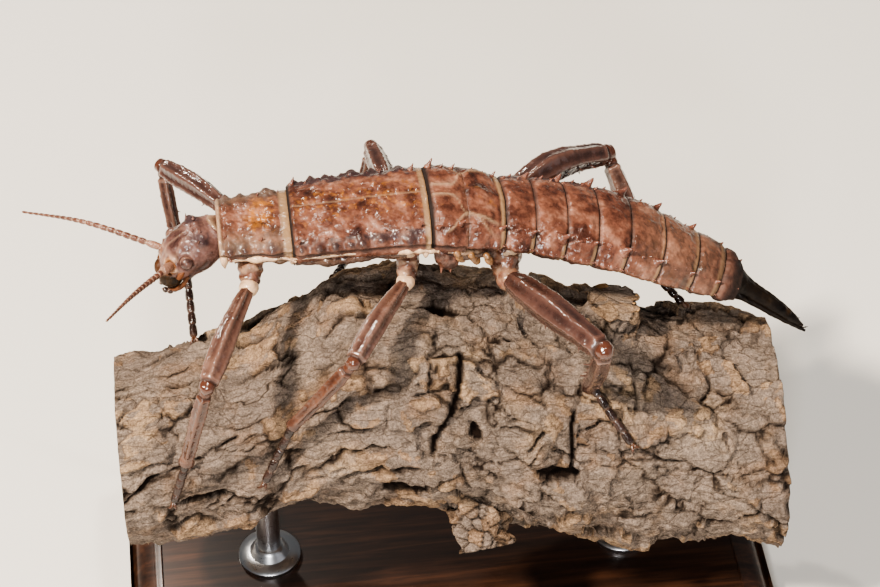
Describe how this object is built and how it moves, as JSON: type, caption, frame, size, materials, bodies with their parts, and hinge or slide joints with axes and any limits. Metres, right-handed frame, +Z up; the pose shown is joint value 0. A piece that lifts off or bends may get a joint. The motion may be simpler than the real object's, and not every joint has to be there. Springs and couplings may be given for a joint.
{
  "type": "stick insect display model",
  "caption": "Life-size still model of a wingless spiny stick insect gripping a cut length of branch, held above a flat base by short rods.",
  "frame": {"origin": "middle of the underside of the display stand's base", "axes": "+Z up; the branch runs along X with the insect's head toward -X and its tail toward +X; the animal's left side is toward -Y"},
  "size_m": [0.1541, 0.0816, 0.1013],
  "materials": {
    "shell": "glossy pitted horn-like shell, reddish brown with ochre patches and dark spots",
    "shell_dark": "glossy blackish-brown horn, wrinkled lengthwise",
    "limb": "glossy dark brown with lengthwise ridges and redder knees",
    "joint": "satin pale tan and cream joint skin and hip balls",
    "foot": "dull grey-black foot joints with amber claws",
    "eye": "wet-looking blackish brown",
    "bark": "rough grey-brown cracked bark with bare sawn ends",
    "stand": "dark stained wood, satin lacquer",
    "rod": "brushed"
  },
  "bodies": {
    "root": {"thorax_pro": "shell", "thorax_meso": "shell", "thorax_meta": "shell", "abdomen_1": "shell", "abdomen_2": "shell", "abdomen_3": "shell", "abdomen_4": "shell", "abdomen_5": "shell", "abdomen_6": "shell", "abdomen_7": "shell", "abdomen_8": "shell", "abdomen_9": "shell", "head": "shell", "head_neck": "joint", "head_mouthparts": "shell_dark", "beak_upper": "shell_dark", "beak_lower": "shell_dark", "head_eye_left": "eye", "head_antenna_left": "limb", "head_palp_left": "joint", "beak_cercus_left": "shell_dark", "head_eye_right": "eye", "head_antenna_right": "limb", "head_palp_right": "joint", "beak_cercus_right": "shell_dark", "leg_front_left_coxa": "joint", "leg_front_left_femur": "limb", "leg_front_left_tibia": "limb", "leg_front_left_tarsus": "foot", "leg_front_right_coxa": "joint", "leg_front_right_femur": "limb", "leg_front_right_tibia": "limb", "leg_front_right_tarsus": "foot", "leg_middle_left_coxa": "joint", "leg_middle_left_femur": "limb", "leg_middle_left_tibia": "limb", "leg_middle_left_tarsus": "foot", "leg_middle_right_coxa": "joint", "leg_middle_right_femur": "limb", "leg_middle_right_tibia": "limb", "leg_middle_right_tarsus": "foot", "leg_hind_left_coxa": "joint", "leg_hind_left_femur": "limb", "leg_hind_left_tibia": "limb", "leg_hind_left_tarsus": "foot", "leg_hind_right_coxa": "joint", "leg_hind_right_femur": "limb", "leg_hind_right_tibia": "limb", "leg_hind_right_tarsus": "foot", "perch_branch": "bark", "stand_base": "stand", "stand_rod_left": "rod", "stand_rod_right": "rod"}
  },
  "joints": []
}
